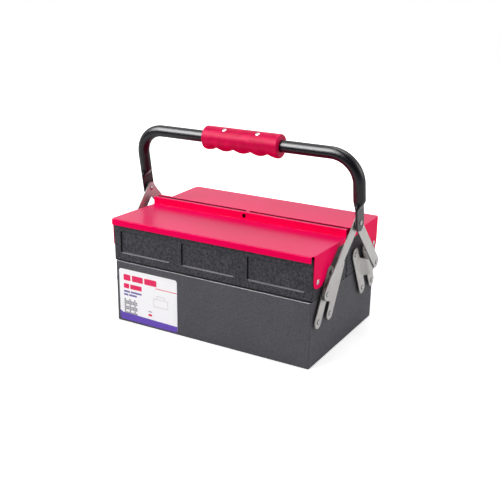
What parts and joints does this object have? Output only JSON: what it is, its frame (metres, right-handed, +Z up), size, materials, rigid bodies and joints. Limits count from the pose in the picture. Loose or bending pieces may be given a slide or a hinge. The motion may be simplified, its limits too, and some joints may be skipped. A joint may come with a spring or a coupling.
{
  "type": "cantilever tool box",
  "caption": "Sheet-steel cantilever tool box: a base, two lidded trays on parallel links, and a bent-tube handle whose arms draw the trays shut.",
  "frame": {"origin": "middle of the rectangle that the base stands on", "axes": "+X along the box, +Y from the labelled front to the back, +Z up; box closed, handle raised"},
  "size_m": [0.3734, 0.2278, 0.2929],
  "materials": {
    "charcoal_steel": "fine-textured satin powder coat on sheet steel",
    "red_steel": "smooth gloss paint on sheet steel",
    "black_steel": "gloss paint on steel tube",
    "red_plastic": "semi-gloss moulded grip",
    "zinc_steel": "bright zinc plating on stamped steel",
    "rivet_steel": "nickel-bright rivets and screws",
    "label_card": "semi-gloss printed card"
  },
  "bodies": {
    "base": {"base_box": "charcoal_steel", "base_rivets": "rivet_steel", "label": "label_card"},
    "front_inner_links": {"front_inner_link_left": "zinc_steel", "front_inner_link_right": "zinc_steel"},
    "back_inner_links": {"back_inner_link_left": "zinc_steel", "back_inner_link_right": "zinc_steel"},
    "front_outer_links": {"front_outer_link_left": "zinc_steel", "front_outer_link_right": "zinc_steel"},
    "back_outer_links": {"back_outer_link_left": "zinc_steel", "back_outer_link_right": "zinc_steel"},
    "front_tray": {"front_tray": "charcoal_steel", "front_tray_rivets": "rivet_steel", "front_lid_rivets": "rivet_steel"},
    "back_tray": {"back_tray": "charcoal_steel", "back_tray_rivets": "rivet_steel", "back_lid_rivets": "rivet_steel"},
    "front_lid": {"front_lid": "red_steel"},
    "back_lid": {"back_lid": "red_steel"},
    "handle_pivots": {"handle_rivets": "rivet_steel"},
    "front_arms": {"front_arm_left": "zinc_steel", "front_arm_right": "zinc_steel", "front_arm_rivets": "rivet_steel"},
    "back_arms": {"back_arm_left": "zinc_steel", "back_arm_right": "zinc_steel", "back_arm_rivets": "rivet_steel"},
    "handle": {"handle_tube": "black_steel", "grip": "red_plastic", "grip_screws": "rivet_steel"}
  },
  "joints": [
    {"name": "front_inner_link_fold", "type": "hinge", "parent": "base", "child": "front_inner_links", "pos_m": [0, -0.057, 0.065], "axis": [1, 0, 0], "range_deg": [0, 55]},
    {"name": "back_inner_link_fold", "type": "hinge", "parent": "base", "child": "back_inner_links", "pos_m": [0, 0.057, 0.065], "axis": [-1, 0, 0], "range_deg": [0, 55]},
    {"name": "front_outer_link_fold", "type": "hinge", "parent": "base", "child": "front_outer_links", "pos_m": [0, -0.0932, 0.065], "axis": [1, 0, 0], "range_deg": [0, 55]},
    {"name": "back_outer_link_fold", "type": "hinge", "parent": "base", "child": "back_outer_links", "pos_m": [0, 0.0932, 0.065], "axis": [-1, 0, 0], "range_deg": [0, 55]},
    {"name": "front_tray_level", "type": "hinge", "parent": "front_inner_links", "child": "front_tray", "pos_m": [0, -0.02456, 0.12499], "axis": [-1, 0, 0], "range_deg": [0, 55]},
    {"name": "back_tray_level", "type": "hinge", "parent": "back_inner_links", "child": "back_tray", "pos_m": [0, 0.02456, 0.12499], "axis": [1, 0, 0], "range_deg": [0, 55]},
    {"name": "front_lid_hinge", "type": "hinge", "parent": "front_tray", "child": "front_lid", "pos_m": [0, -0.0966, 0.1225], "axis": [1, 0, 0], "range_deg": [0, 110]},
    {"name": "back_lid_hinge", "type": "hinge", "parent": "back_tray", "child": "back_lid", "pos_m": [0, 0.0966, 0.1225], "axis": [-1, 0, 0], "range_deg": [0, 110]},
    {"name": "handle_pivot_drop", "type": "slide", "parent": "base", "child": "handle_pivots", "axis": [0, 0, -1], "range_m": [0, 0.0605]},
    {"name": "front_arm_spread", "type": "hinge", "parent": "handle_pivots", "child": "front_arms", "pos_m": [0, 0, 0.181], "axis": [-1, 0, 0], "range_deg": [0, 19]},
    {"name": "back_arm_spread", "type": "hinge", "parent": "handle_pivots", "child": "back_arms", "pos_m": [0, 0, 0.181], "axis": [1, 0, 0], "range_deg": [0, 19]},
    {"name": "handle_swing", "type": "hinge", "parent": "handle_pivots", "child": "handle", "pos_m": [0, 0, 0.181], "axis": [1, 0, 0], "range_deg": [-54.9, 35.1]}
  ],
  "couplings": [
    {"joint": "back_inner_link_fold", "follows": "front_inner_link_fold", "ratio": 1},
    {"joint": "front_outer_link_fold", "follows": "front_inner_link_fold", "ratio": 1},
    {"joint": "back_outer_link_fold", "follows": "front_inner_link_fold", "ratio": 1},
    {"joint": "front_tray_level", "follows": "front_inner_link_fold", "ratio": 1},
    {"joint": "back_tray_level", "follows": "front_inner_link_fold", "ratio": 1},
    {"joint": "handle_pivot_drop", "follows": "front_inner_link_fold", "m_per_rad": 0.062634},
    {"joint": "front_arm_spread", "follows": "front_inner_link_fold", "ratio": 0.3431},
    {"joint": "back_arm_spread", "follows": "front_inner_link_fold", "ratio": 0.3431}
  ]
}
